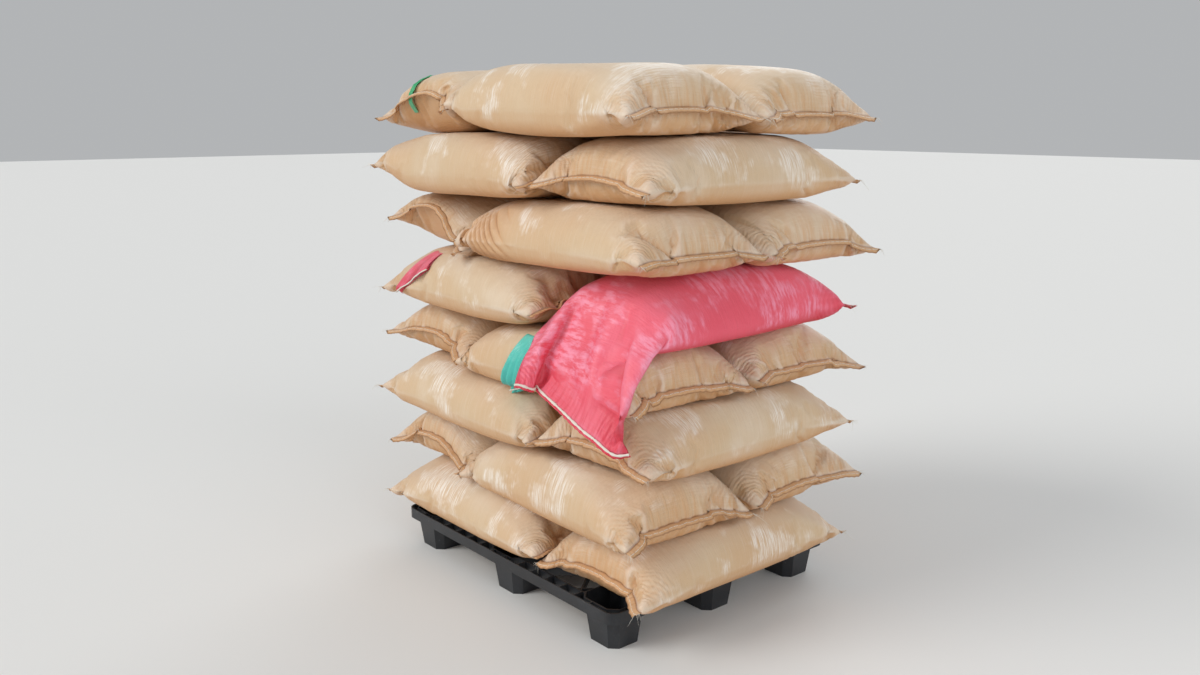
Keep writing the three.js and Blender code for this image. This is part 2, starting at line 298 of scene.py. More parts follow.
def as_board(bm, walls, place, friction):
    """Adds a shape that the filling sack presses against to its walls."""
    made = bpy.data.objects.new("board", new_mesh("board", bm))
    made.location = place
    walls.objects.link(made)
    scene.collection.objects.link(made)
    made.modifiers.new("solid", "COLLISION")
    made.collision.thickness_outer = BOARD_THICKNESS
    made.collision.cloth_friction = friction
    return made


def board(walls, place, size, turn, axis):
    """A flat board that faces up, and is then turned by this angle about an axis."""
    bm = bmesh.new()
    bmesh.ops.create_grid(bm, x_segments=1, y_segments=1, size=size / 2)
    bmesh.ops.rotate(bm, cent=(0, 0, 0), matrix=Matrix.Rotation(turn, 4, axis), verts=bm.verts)
    return as_board(bm, walls, place, friction=5)


def side_board(walls, place):
    """A board along the pressed side of a sack at this place."""
    return board(walls, place + Vector((0, HALF_WIDTH + BOARD_GAP, 0)), SMALL_BOARD_SIZE, math.pi / 2, "X")


def base_board(walls, place, past_middle):
    """A board across the pressed base of a sack at this place."""
    return board(walls, place + Vector((past_middle, 0, 0)), SMALL_BOARD_SIZE, -math.pi / 2, "Y")


def as_cloth(sack, walls, pressure, bending, gather, frames):
    """Makes an empty sack cloth that swells until its walls hold it."""
    seams = sack.vertex_groups.new(name="seams")
    ends = (min(v.co.x for v in sack.data.vertices), max(v.co.x for v in sack.data.vertices))
    for v in sack.data.vertices:
        weight = 1 - min(v.co.x - ends[0], ends[1] - v.co.x) / GATHER_REACH
        if weight > 0:
            seams.add([v.index], weight, "REPLACE")
    cloth = sack.modifiers.new("cloth", "CLOTH")
    weave = cloth.settings
    weave.quality = 4
    weave.mass = 0.1
    weave.tension_stiffness = 40
    weave.compression_stiffness = 40
    weave.shear_stiffness = 15
    weave.bending_stiffness = bending
    weave.tension_damping = 10
    weave.compression_damping = 10
    weave.air_damping = 3
    weave.use_pressure = True
    weave.uniform_pressure_force = pressure
    weave.effector_weights.gravity = 0
    weave.vertex_group_shrink = "seams"
    weave.shrink_min = 0
    weave.shrink_max = gather
    cloth.collision_settings.distance_min = 0.003
    cloth.collision_settings.collision_quality = 2
    cloth.collision_settings.use_self_collision = False
    cloth.collision_settings.collection = walls
    cloth.point_cache.frame_end = frames + 2
    return weave


def set_to_fill(sack, place, pressed, pressure, bending, gather, headroom):
    """Fills a sack between the layers below and above it, and against the sacks on its pressed sides."""
    sack.location = place
    place = Vector(place)
    walls = bpy.data.collections.new(sack.name)
    half = LAYER_HEIGHT / 2
    around = [
        board(walls, place + Vector((0, 0, -half)), BOARD_SIZE, 0, "X"),
        board(walls, place + Vector((0, 0, half + headroom)), BOARD_SIZE, math.pi, "X"),
    ]
    if "side" in pressed:
        around.append(side_board(walls, place))
    if "base" in pressed:
        around.append(base_board(walls, place, HALF_LENGTH + BOARD_GAP))
    as_cloth(sack, walls, pressure, bending, gather, SETTLING_FRAMES)
    return around


# The slack sack is longer, and filled only up to the load's face. Its empty mouth hangs over the layer below,
# whose rounded side and the two layers under it are a stepped board, here by its x and z. The board above it
# ends where the layer above does.
SLACK_LENGTH = 1.19
SLACK_BASE = 0.49
SLACK_PRESSED = 0.02
SLACK_PLACE = (10, 20, 4)
SLACK_FRAMES = 44
HALF_STEP = 0.7
ABOVE_ENDS = -0.4
LIMP_FROM = -0.44
LIMP_OVER = 0.16
LIMP_PRESSURE = 0.015
SLACK_STEP = [
    (0.7, -0.1), (-0.26, -0.1), (-0.33, -0.108), (-0.39, -0.135), (-0.43, -0.18), (-0.438, -0.23),
    (-0.41, -0.275), (-0.36, -0.3), (-0.4, -0.325), (-0.44, -0.38), (-0.44, -0.45),
]


def set_to_hang(sack, place):
    """Fills the slack sack up to its limp mouth, and lets that hang over the step."""
    sack.location = place
    place = Vector(place)
    walls = bpy.data.collections.new(sack.name)
    above = board(walls, place + Vector((0, 0, LAYER_HEIGHT / 2)), SMALL_BOARD_SIZE, math.pi, "X")
    around = [above, base_board(walls, place, SLACK_BASE), side_board(walls, place)]
    for v in above.data.vertices:
        v.co.x = max(v.co.x, ABOVE_ENDS)
    bm = bmesh.new()
    bmesh.ops.create_grid(bm, x_segments=len(SLACK_STEP) - 1, y_segments=1, size=HALF_STEP)
    for v in bm.verts:
        station = round((v.co.x / HALF_STEP + 1) / 2 * (len(SLACK_STEP) - 1))
        v.co.x, v.co.z = SLACK_STEP[::-1][station]
    around.append(as_board(bm, walls, place, friction=8))
    weave = as_cloth(sack, walls, pressure=16, bending=0.8, gather=0, frames=SLACK_FRAMES)
    weave.effector_weights.gravity = 0.6
    full = sack.vertex_groups.new(name="full")
    for v in sack.data.vertices:
        at = min(max((v.co.x - LIMP_FROM) / LIMP_OVER, 0), 1)
        full.add([v.index], LIMP_PRESSURE + (1 - LIMP_PRESSURE) * at, "REPLACE")
    weave.vertex_group_pressure = "full"
    return around


# The sacks are filled all at once, well apart from each other. An edge sack is pressed at its base and one
# side, and a cross sack at one side. Each has its pressed sides, pressure, bending stiffness and gathering.
FILLING_PLACE = (10, 10, 4)
FILLING_PITCH = 2.2
FILLING_COLUMNS = 3
FILLED = {
    "edge_a": (("side", "base"), 6.0, 0.8, 0.05),
    "edge_b": (("side", "base"), 7.0, 1.4, 0.07),
    "edge_c": (("side", "base"), 6.0, 0.5, 0.03),
    "edge_d": (("side", "base"), 8.0, 1.0, 0.06),
    "edge_top": (("side", "base"), 6.0, 0.8, 0.04),
    "cross_a": (("side",), 6.0, 0.6, 0.05),
    "cross_b": (("side",), 7.0, 1.2, 0.06),
    "cross_c": (("side",), 6.0, 0.9, 0.04),
    "cross_top": (("side",), 6.0, 0.8, 0.05),
}
filling = {}
boards = []
for number, (name, (pressed, pressure, bending, gather)) in enumerate(FILLED.items()):
    sack = flat_sack(name, seed=number + 1)
    line, column = divmod(number, FILLING_COLUMNS)
    place = (
        column * FILLING_PITCH + FILLING_PLACE[0],
        line * FILLING_PITCH + FILLING_PLACE[1],
        FILLING_PLACE[2],
    )
    headroom = TOP_HEADROOM if name.endswith("top") else 0.0
    boards += set_to_fill(sack, place, pressed, pressure, bending, gather, headroom)
    filling[name] = sack
slack = flat_sack("slack", seed=20, length=SLACK_LENGTH)
slack.data.transform(Matrix.Translation((SLACK_BASE + SLACK_PRESSED - SLACK_LENGTH / 2, 0, 0)))
slack_boards = set_to_hang(slack, SLACK_PLACE)
shapes = {}
for number in range(1, SLACK_FRAMES + 1):
    scene.frame_set(number)
    if number == SETTLING_FRAMES:
        moment = bpy.context.evaluated_depsgraph_get()
        for name, sack in filling.items():
            shapes[name] = bpy.data.meshes.new_from_object(sack.evaluated_get(moment))
        for made in [*boards, *filling.values()]:
            bpy.data.objects.remove(made)
moment = bpy.context.evaluated_depsgraph_get()
shapes["slack"] = bpy.data.meshes.new_from_object(slack.evaluated_get(moment))
for made in [*slack_boards, slack]:
    bpy.data.objects.remove(made)
scene.frame_set(1)


def points_of(mesh):
    flat = np.empty(len(mesh.vertices) * 3)
    mesh.vertices.foreach_get("co", flat)
    return flat.reshape(-1, 3)


def normals_of(mesh):
    flat = np.empty(len(mesh.vertices) * 3)
    mesh.vertex_normals.foreach_get("vector", flat)
    return flat.reshape(-1, 3)


def attribute_of(mesh, name):
    values = np.empty(len(mesh.vertices), dtype=int)
    mesh.attributes[name].data.foreach_get("value", values)
    return values


def grid_of(mesh):
    """The index of each point by side, column and row. The outer edge belongs to both sides."""
    column, row, side = (attribute_of(mesh, n) for n in ("column", "row", "side"))
    index = np.zeros((2, GRID[0] + 1, GRID[1] + 1), dtype=int)
    index[side, column, row] = np.arange(len(column))
    edge = (column == 0) | (column == GRID[0]) | (row == 0) | (row == GRID[1])
    for both in (UPPER, LOWER):
        index[both, column[edge], row[edge]] = np.arange(len(column))[edge]
    return index


def swell(at, start, end):
    """0 below start, 1 above end, and smooth between."""
    t = np.clip((at - start) / (end - start), 0, 1)
    return t * t * (3 - 2 * t)


# The load: eight layers of two edge sacks and one cross sack. Weight and rough handling bend all the layers
# together, and their outer edges hang a little.
PALLET_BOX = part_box("pallet")
PALLET_CENTRE = [(PALLET_BOX[0][axis] + PALLET_BOX[1][axis]) / 2 for axis in (0, 1)]
PALLET_TOP = 0.1403
TOP_LAYER = 8
LAYER_GAP = 0.0006
LAYER_SHIFT_X = [0.002, -0.006, 0.004, -0.014, 0, 0.016, -0.008, -0.018]
LAYER_SHIFT_Y = [0, 0.005, -0.006, 0.003, -0.004, 0.006, -0.003, -0.002]
LAYER_TURN = [0.2, -0.5, 0.6, -0.4, 0.7, -0.6, 0.5, -0.7]
PITCH = 0.25
CROSS_X = 0.447
FREE_SIDE = 0.262
PRESSED_SIDE = 0.2445
FREE_END = 0.425
CROSS_Y = -0.02
SLACK_Y = -0.072
SLACK_REACH = 0.0965
HALF_LOAD = (0.74, 0.54)
EDGE_DROOP = 0.012
BEND_SIZES = (0.009, 0.009, 0.007)
BEND_WAVES = [(2.3, 1.1, 1.6, 0.3), (-1.7, 3.9, -2.2, 1.9), (5.1, -3.3, 3.1, 4.0), (-6.3, -5.2, 2.4, 2.6)]


def bent(points):
    """The smooth unevenness that all the layers share. It moves no point into the pallet."""
    x, y, z = points.T
    free = swell(z, PALLET_TOP, PALLET_TOP + 0.25)
    out = points.copy()
    for axis, size in enumerate(BEND_SIZES):
        wave = 0
        for a, b, c, phase in BEND_WAVES:
            wave = wave + np.sin(a * x + b * y + c * z + phase + axis * 2.1) / 2
        out[:, axis] += size * wave * free
    aside, behind = np.abs(x - PALLET_CENTRE[0]), np.abs(y - PALLET_CENTRE[1])
    from_middle = np.maximum(aside / HALF_LOAD[0], behind / HALF_LOAD[1])
    out[:, 2] -= EDGE_DROOP * swell(from_middle, 0.72, 1.02) * free
    return out


# The grain stops short of the ears, so the cloth closes on each of them as a cone: this is its rise for each
# metre from the tip, how far the empty tip droops, and how long the cone is at a free and at a pressed side.
EAR_RISE = 0.72
EAR_DROOP = 0.012
FREE_CONE = 0.11
PRESSED_CONE = 0.19


def tapered(points, shape):
    """Draws the sack's corners out into cones."""
    index = grid_of(shape)
    column, row, side = (attribute_of(shape, n) for n in ("column", "row", "side"))
    from_end = np.minimum(column, GRID[0] - column) * SEWN_LENGTH / GRID[0]
    from_side = np.minimum(row, GRID[1] - row) * FLAT_WIDTH / GRID[1]
    spread = 2 * from_end * from_side / np.maximum(from_end**2 + from_side**2, 1e-9)
    for end in (0, GRID[0]):
        for edge in (0, GRID[1]):
            tip = points[index[UPPER, end, edge]].copy()
            along, across, rise = np.abs(points - tip).T
            away = 0.5 * np.hypot(along, across) + 0.35 * (along + across)
            most = EAR_RISE * away + 0.002
            kept = most / np.maximum(rise**4 + most**4, 1e-12) ** 0.25
            height = (points[:, 2] - tip[2]) * kept
            cone = np.where(side == UPPER, 1, -1) * EAR_RISE * away * spread * 0.9
            at_tip = 1 - swell(away, 0.03, FREE_CONE if edge == 0 else PRESSED_CONE)
            droop = EAR_DROOP * (1 - swell(away, 0, 0.1))
            points[:, 2] = tip[2] + height * (1 - at_tip) + cone * at_tip - droop


def stacked(shape, layer, kind, levels, rng):
    """A filled sack's points in its place in the load. levels are the heights of its seams, as shares of its
    own height: at the sides, and at the mouth's ear by the free side, middle and other ear."""
    points = points_of(shape)
    x, y, z = points.T
    slack = shape.name.startswith("red")
    reach = SLACK_REACH if slack else -z.min() if layer == TOP_LAYER else np.abs(z).max()
    if slack:
        # The hanging mouth is lower at the sack's free side.
        z += 0.25 * y * swell(-z, 0.1, 0.3)
    # It is fitted to the width and length of its place, and to its layer with its seams at their levels.
    body = np.abs(x) < 0.2
    lowest, highest = y[body].min(), y[body].max()
    y -= lowest
    y *= (FREE_SIDE + PRESSED_SIDE) / (highest - lowest)
    y -= FREE_SIDE
    if not slack:
        middle = np.abs(y) < 0.06
        mouth, base = x[middle].min(), x[middle].max()
        to_base = FREE_END if kind == "cross" else HALF_LENGTH
        x -= mouth
        x *= (FREE_END + to_base) / (base - mouth)
        x -= FREE_END
    level = (z / reach + 1) / 2
    at_side, at_free_ear, at_middle, at_other_ear = levels
    across = np.clip(y / 0.24, -1, 1)
    ear = np.where(across < 0, at_free_ear, at_other_ear)
    at_mouth = at_middle + (ear - at_middle) * across**2
    target = at_side + (at_mouth - at_side) * swell(-x, 0.2, 0.43)
    filled = (level > 0) & (level < 1)
    level[filled] **= (np.log(target) / math.log(0.5))[filled]
    points[:, 2] = level * (LAYER_HEIGHT - LAYER_GAP)
    if not slack:
        tapered(points, shape)
    # Every other layer is mirrored end to end, so its cross sack lies at the pallet's other end.
    even = layer % 2 == 0
    if kind == "cross":
        if even:
            points[:, 1] *= -1
        points = np.stack([-points[:, 1], points[:, 0], points[:, 2]], axis=1)
        points[:, 0] += -CROSS_X if even else CROSS_X
        points[:, 1] += SLACK_Y if slack else CROSS_Y
    else:
        if even:
            points[:, 0] *= -1
        if kind == "back":
            points[:, 1] *= -1
        points[:, 0] += PITCH if even else -PITCH
        points[:, 1] += PITCH if kind == "back" else -PITCH
    turn = math.radians(LAYER_TURN[layer - 1] + rng.uniform(-0.4, 0.4))
    c, s = math.cos(turn), math.sin(turn)
    x, y = points[:, 0].copy(), points[:, 1].copy()
    points[:, 0] = c * x - s * y + LAYER_SHIFT_X[layer - 1] + PALLET_CENTRE[0] + rng.uniform(-0.003, 0.003)
    points[:, 1] = s * x + c * y + LAYER_SHIFT_Y[layer - 1] + PALLET_CENTRE[1] + rng.uniform(-0.005, 0.005)
    points[:, 2] += PALLET_TOP + (layer - 1) * LAYER_HEIGHT
    return bent(points)


def is_turned_over(layer, kind):
    """Whether the place in the load mirrors the filled shape, which turns its faces inside out."""
    even = layer % 2 == 0
    if kind == "cross":
        return even
    return even != (kind == "back")


def relaxed(mesh, points, rounds):
    """The points, each moved halfway to the middle of its neighbours, for some rounds."""
    edges = np.empty(len(mesh.edges) * 2, dtype=int)
    mesh.edges.foreach_get("vertices", edges)
    a, b = edges.reshape(-1, 2).T
    count = np.bincount(np.concatenate([a, b]), minlength=len(points))[:, None]
    even = points.copy()
    for _ in range(rounds):
        total = np.zeros_like(even)
        for axis, values in enumerate(even.T):
            total[:, axis] = np.bincount(a, values[b], len(points)) + np.bincount(b, values[a], len(points))
        even = 0.5 * even + 0.5 * total / count
    return even


def hollowness(mesh, points, rounds):
    """How far each point lies below the cloth around it, in metres."""
    return ((relaxed(mesh, points, rounds) - points) * normals_of(mesh)).sum(axis=1)


# Each sack's filled shape, and how high its seams lie in it.
SACKS = {
    "sack_1_front": ("edge_b", (0.36, 0.3, 0.36, 0.34)),
    "sack_1_back": ("edge_a", (0.36, 0.32, 0.38, 0.32)),
    "sack_1_cross": ("cross_a", (0.36, 0.3, 0.42, 0.34)),
    "sack_2_front": ("edge_c", (0.34, 0.34, 0.36, 0.34)),
    "sack_2_back": ("edge_d", (0.4, 0.36, 0.4, 0.34)),
    "sack_2_cross": ("cross_c", (0.35, 0.34, 0.5, 0.26)),
    "sack_3_front": ("edge_d", (0.35, 0.3, 0.34, 0.36)),
    "sack_3_back": ("edge_c", (0.34, 0.36, 0.36, 0.34)),
    "sack_3_cross": ("cross_b", (0.38, 0.32, 0.44, 0.36)),
    "sack_4_front": ("edge_a", (0.36, 0.34, 0.36, 0.34)),
    "sack_4_back": ("edge_b", (0.36, 0.3, 0.36, 0.34)),
    "sack_4_cross": ("cross_b", (0.33, 0.34, 0.5, 0.26)),
    "sack_5_front": ("edge_b", (0.35, 0.32, 0.36, 0.36)),
    "sack_5_back": ("edge_a", (0.36, 0.34, 0.4, 0.34)),
    "red_sack_5_cross": ("slack", (0.38, 0.38, 0.42, 0.38)),
    "sack_6_front": ("edge_d", (0.36, 0.34, 0.36, 0.34)),
    "sack_6_back": ("edge_c", (0.36, 0.3, 0.38, 0.34)),
    "sack_6_cross": ("cross_a", (0.35, 0.62, 0.84, 0.14)),
    "sack_7_front": ("edge_c", (0.36, 0.62, 0.38, 0.36)),
    "sack_7_back": ("edge_d", (0.36, 0.34, 0.36, 0.34)),
    "sack_7_cross": ("cross_b", (0.36, 0.3, 0.44, 0.36)),
    "sack_8_front": ("edge_top", (0.38, 0.36, 0.4, 0.36)),
    "sack_8_back": ("edge_top", (0.34, 0.34, 0.36, 0.36)),
    "sack_8_cross": ("cross_top", (0.34, 0.34, 0.7, 0.44)),
}


def unit(vectors):
    return vectors / np.maximum(np.linalg.norm(vectors, axis=-1, keepdims=True), 1e-9)


def evened(line, rounds):
    """A line of points or vectors, smoothed along its length."""
    for _ in range(rounds):
        line = np.concatenate([line[:1], (line[:-2] + 2 * line[1:-1] + line[2:]) / 4, line[-1:]])
    return line


def swept(bm, rings, flat, finish):
    """A tube through rings of points, shut at both ends. flat gives each point its place in the weave."""
    count, around = rings.shape[:2]
    uv = bm.loops.layers.uv["flat"]
    made = bmesh.ops.create_grid(bm, x_segments=count - 1, y_segments=around, size=1)["verts"]
    places = {
        v: (round((v.co.x + 1) / 2 * (count - 1)), round((v.co.y + 1) / 2 * around) % around) for v in made
    }
    for v, (station, turn) in places.items():
        v.co = rings[station, turn]
    for face in {f for v in made for f in v.link_faces}:
        face.material_index = finish
        face.smooth = True
        for loop in face.loops:
            loop[uv].uv = flat[places[loop.vert]]
    bmesh.ops.remove_doubles(bm, verts=made, dist=1e-6)
    made = [v for v in made if v.is_valid]
    edges = {e for v in made for e in v.link_edges}
    bmesh.ops.holes_fill(bm, edges=[e for e in edges if e.is_boundary], sides=0)
    bmesh.ops.recalc_face_normals(bm, faces=list({f for v in made for f in v.link_faces}))


def strand(bm, line, thickness, finish, sides=4):
    """A round thread along a line of points. thickness is one value, or one for each point."""
    line = np.asarray(line, float)
    along = unit(np.gradient(line, axis=0))
    across = unit(np.cross(along, (0.31, 0.2, 0.93)))
    third = np.cross(along, across)
    radius = np.broadcast_to(np.asarray(thickness) / 2, (len(line),))[:, None]
    rings = np.stack(
        [
            line + radius * (math.cos(turn) * across + math.sin(turn) * third)
            for turn in np.arange(sides) * 2 * math.pi / sides
        ],
        axis=1,
    )
    swept(bm, rings, np.zeros((*rings.shape[:2], 2)), finish)


# The sewn ends. Past the seam both layers are folded into a hem 26 mm deep, which is stitched through with
# white cotton thread; the thread's tails and the cut tapes of the cloth fray out at the tips of the ears.
HEM_DEPTH = 0.026
HEM_THICKNESS = 0.0026
NARROW_SHARE = 0.45
THREAD = 0.0017
STITCH_RAISED, STITCH_SUNK = 0.0004, -0.0012
TAILS = 6
TAILS_FROM_SEAM = 0.008
OVERLOCK = 0.008
CLOTH, THREADS = 0, 1


def sew_end(bm, points, index, end, rng, overlocked, narrow):
    """Adds the hem, its stitches and the loose threads to one end of a sack. An overlocked end has a thick
    roll of white thread over its raw edge instead, and an end pressed to another sack only a narrow hem."""
    # At each point of the seam, out leads away from the sack, face to its top and down to its underside.
    inward = 1 if end == 0 else -1
    seam = points[index[UPPER, end]]
    above = points[index[UPPER, end + 3 * inward]]
    below = points[index[LOWER, end + 3 * inward]]
    out = unit(evened(unit(unit(seam - above) + unit(seam - below)), 6))
    seam = evened(seam, 1)
    face = unit(evened(np.cross(np.gradient(seam, axis=0), out), 4))
    face *= np.sign((face * (above - below)).sum())
    down = unit(below - seam)
    down = unit(evened(unit(down - out * (down * out).sum(axis=1, keepdims=True)), 4))
    # The hem's section is a closed loop, its face and then its back, and it bends down as it goes out.
    fold = rng.uniform(0.9, 1.25) * (0.5 if overlocked or narrow else 1)
    rows = np.arange(len(seam))
    ripple = sum(np.sin(rows * k + rng.uniform(0, FULL_TURN)) for k in (0.35, 0.62, 0.93)) / 3
    depths = np.array([-0.005, 0.0, 0.007, 0.015, HEM_DEPTH]) * (NARROW_SHARE if overlocked or narrow else 1)
    sheets = []
    for side in (1, -1):
        for depth in depths[::side]:
            share = max(depth, 0) / HEM_DEPTH
            frayed = depth + (0.0015 * np.sin(rows * 2.7)[:, None] if depth == depths[-1] else 0)
            turn = fold * share * (1 + 0.25 * ripple[:, None])
            arc = np.maximum(turn, 1e-3)
            ahead, dropped = frayed * np.sin(arc) / arc, frayed * (1 - np.cos(arc)) / arc
            facing = face * np.cos(turn) + out * np.sin(turn)
            wave = 0.004 * share * ripple[:, None]
            sheets.append(seam + out * ahead + down * dropped + facing * (side * HEM_THICKNESS / 2 + wave))
    rings = np.stack(sheets, axis=1)
    u = np.concatenate([depths, depths[::-1]]) + SEWN_LENGTH / 2
    v = (rows / GRID[1] - 0.5) * FLAT_WIDTH
    flat = np.stack(np.meshgrid(v, u * -inward, indexing="ij")[::-1], axis=-1)
    swept(bm, rings, flat, CLOTH)
    if narrow:
        return

    fine = np.linspace(0, len(seam) - 1, 2 * len(seam) - 1)

    def at(lines):
        return np.stack([np.interp(fine, rows, lines[:, k]) for k in range(3)], axis=1)

    if overlocked:
        lumps = 1 + 0.2 * np.sin(fine * 1.9 + 1) * np.sin(fine * 0.7) + rng.normal(0, 0.12, len(fine))
        strand(bm, at(seam) + 0.002 * at(out) + 0.0022 * at(face), OVERLOCK * lumps, THREADS, sides=7)
        return
    face_sheet, back_sheet = sheets[len(depths) - 2], sheets[len(depths) + 1]
    for side, sheet in ((1, face_sheet), (-1, back_sheet)):
        shown = np.where(np.arange(len(fine)) % 4 == (1 - side), STITCH_SUNK, STITCH_RAISED)[:, None]
        away = unit(evened(face_sheet - back_sheet, 2)) * side
        strand(bm, at(sheet) + at(away) * shown, THREAD, THREADS)
    for tip, before in ((0, 3), (-1, -4)):
        start = seam[tip] + out[tip] * TAILS_FROM_SEAM
        ahead = unit(seam[tip] - seam[before])
        for number in range(TAILS):
            length = rng.uniform(0.02, 0.034) if number == 0 else rng.uniform(0.01, 0.024)
            aim = unit(ahead * 0.8 + out[tip] * 0.6 + rng.normal(0, 0.35, 3))
            curl = rng.normal(0, 0.3, 3)
            t = np.linspace(0, 1, 7)[:, None]
            line = start + out[tip] * rng.uniform(-0.006, 0.014) + aim * length * t + curl * length * t**2
            line[:, 2] -= 0.4 * length * t[:, 0] ** 2
            strand(bm, line, THREAD * np.linspace(0.9, 0.35, 7) * (1 if number == 0 else 0.6), THREADS)


# The cloth is woven from flat tapes of stretched film. It shines a little, the tapes show as fine lines across
# the sack, and wear turns them pale in streaks that also carry painted sheen. Creases ring each ear, and the
# hem shows its folded edge. Its colour also holds painted light: highlights, shade and an amber glow.
TAPE_PITCH = 0.0028
RING_PITCH = 0.015
HEM_EDGE = 0.0245


def woven(name, cloth, wear_and_highlight, deep, amber, rub_and_sheen_threshold=0.5, streak=(0.004, 0.07)):
    """Woven tape cloth: its own colour, pale in wear streaks that are partly painted sheen, with painted
    highlights on its tops and ridges, painted shade in folds, hollows and undersides, and a painted amber glow
    as of light coming through. The lower the threshold, the more of it carries the pale streaks, of that width
    and length."""
    material, paint, shader = new_finish(name)
    flat = paint.node("UVMap", {"uv_map": "flat"}, {})
    place = paint.node("TexCoord", {}, {}, output=3)
    u = paint.node("SeparateXYZ", {}, {0: flat})
    v = Shade(paint.tree, u.socket.node.outputs[1])
    own = paint.node("Attribute", {"attribute_name": "own_pattern"}, {}, output=2)
    weave_place = paint.node("CombineXYZ", {}, {0: u, 1: v, 2: own})
    from_seam = SEWN_LENGTH / 2 - u.maths("ABSOLUTE")
    hollow = paint.node("Attribute", {"attribute_name": "hollow"}, {}, output=2)
    gathered = paint.node("Attribute", {"attribute_name": "gathered"}, {}, output=2)
    up = paint.node("SeparateXYZ", {}, {0: paint.node("NewGeometry", {}, {}, output=1)}, output=2)

    # What shows on it: tapes and lumps of grain, creases, pleats by the seams, pale wear streaks that are
    # partly painted sheen, and sewn edges.
    tapes = (u * (math.pi / TAPE_PITCH)).maths("SINE") * (v * (math.pi / TAPE_PITCH)).maths("SINE")
    creases = weave_place.stretched(1, 0.1, 1).noise(0.011, 4, 0.6)
    lines = weave_place.stretched(1, 0.035, 0.3).noise(0.0035, 3, 0.6)
    near_seam = 1 - from_seam.ramp(0.0, 0.13)
    pleats = weave_place.stretched(0.12, 1, 1).noise(0.014, 3, 0.55)
    lumps = place.noise(0.035, 3, 0.55)
    streaks = weave_place.stretched(1, streak[0] / streak[1], 0.6).noise(streak[0], 4, 0.65).ramp(0.38, 0.64)
    # Pale wear streaks, partly painted sheen, only on faces that look up, away from the seams.
    facing_up_from_seams = up.ramp(-0.5, 0.1) * (1 - near_seam)
    rubbed_and_sheen = streaks * place.noise(0.22, 4, 0.6).ramp(rub_and_sheen_threshold, rub_and_sheen_threshold + 0.1) * facing_up_from_seams
    patches = place.noise(0.4, 3, 0.5)
    from_side = FLAT_WIDTH / 2 - v.maths("ABSOLUTE")
    from_ear = (from_seam * from_seam + from_side * from_side).maths("SQRT")
    ring = from_ear * (2 * math.pi / RING_PITCH) + weave_place.noise(0.05, 2, 0.5) * 12
    ringed = from_ear.ramp(0.02, 0.05) * (1 - from_ear.ramp(0.08, 0.2)) * ring.maths("SINE")
    hem = 1 - from_seam.ramp(-0.002, 0.003)
    hem_edge = 1 - (from_seam + HEM_EDGE).maths("ABSOLUTE").ramp(0.0008, 0.004)
    seam_line = 1 - (from_seam - 0.001).maths("ABSOLUTE").ramp(0.001, 0.005)
    edges = u.maths("MAXIMUM", hem_edge * 0.5, seam_line * 0.6)

    # Each of these tints the one before it.
    colour = paint.node("RGB", {}, {})
    colour.socket.default_value = (*cloth, 1)
    colour = colour.tinted((*amber, 1), patches.ramp(0.42, 0.7) * 0.3 + lines.ramp(0.5, 0.8) * 0.16)
    faded = (1 - patches.ramp(0.3, 0.5)) * 0.25 + (1 - lines.ramp(0.2, 0.5)) * 0.15
    colour = colour.tinted((*wear_and_highlight, 1), faded)
    # Painted shade and painted glow: faces that look down turn amber.
    colour = colour.tinted((*amber, 1), (1 - up.ramp(-0.8, 0.2)) * 0.85)
    # Painted highlight: faces that look up turn paler.
    colour = colour.tinted((*wear_and_highlight, 1), up.ramp(0.35, 1.0) * 0.2)
    # The pale streaks: partly wear, partly painted sheen.
    colour = colour.tinted((*wear_and_highlight, 1), rubbed_and_sheen * 0.84)
    # Painted glow: the emptier cloth near the seams, and the pleats there, turn amber.
    colour = colour.tinted((*amber, 1), near_seam * (0.15 + pleats.ramp(0.4, 0.66) * 0.45))
    # Painted shade: the tied sack's gathered folds turn amber, and their undersides dark red-brown as painted
    # shade and painted reflection.
    colour = colour.tinted((*amber, 1), gathered * 0.65)
    colour = colour.tinted((*deep, 1), gathered * (1 - up.ramp(-0.7, 0.1)) * 0.4)
    # Painted shade in the valleys of the creases that ring each ear.
    colour = colour.tinted((*amber, 1), (0 - ringed).ramp(0.05, 0.8) * 0.15)
    # Painted glow: the hem turns amber.
    colour = colour.tinted((*amber, 1), hem * 0.55)
    # Painted shade: hollows in the cloth turn amber, and deeper ones dark.
    colour = colour.tinted((*amber, 1), hollow.ramp(0.001, 0.006) * 0.4)
    colour = colour.tinted((*deep, 1), hollow.ramp(0.004, 0.012) * 0.5)
    colour = colour.tinted((*deep, 1), edges)
    # Painted highlight: cloth that stands above the cloth around it turns paler.
    colour = colour.tinted((*wear_and_highlight, 1), (0 - hollow).ramp(0.002, 0.008) * 0.3)
    feed(shader, "Base Color", colour)
    feed(shader, "Roughness", 0.46 - rubbed_and_sheen * 0.1 + creases * 0.08)
    relief = (
        tapes * 0.0002
        + lines * 0.0006
        + creases * 0.0022 * (1 - near_seam * 0.6)
        + pleats * near_seam * 0.005
        + ringed * 0.0006
        + lumps * 0.003
    )
    feed(shader, "Normal", paint.node("Bump", {}, {"Strength": 1.0, "Distance": 1.0, "Height": relief}))
    return material


tan_weave = woven(
    "tan_weave",
    cloth=(0.66, 0.485, 0.305),
    wear_and_highlight=(0.93, 0.87, 0.8),
    deep=(0.26, 0.09, 0.03),
    amber=(0.63, 0.33, 0.14),
)
red_weave = woven(
    "red_weave",
    cloth=(0.86, 0.11, 0.165),
    wear_and_highlight=(0.95, 0.34, 0.48),
    deep=(0.4, 0.008, 0.02),
    amber=(0.64, 0.025, 0.05),
    rub_and_sheen_threshold=0.43,
    streak=(0.013, 0.06),
)
sewing_thread, _, shader = new_finish("sewing_thread")
feed(shader, "Base Color", (0.78, 0.74, 0.66, 1))
feed(shader, "Roughness", 0.9)

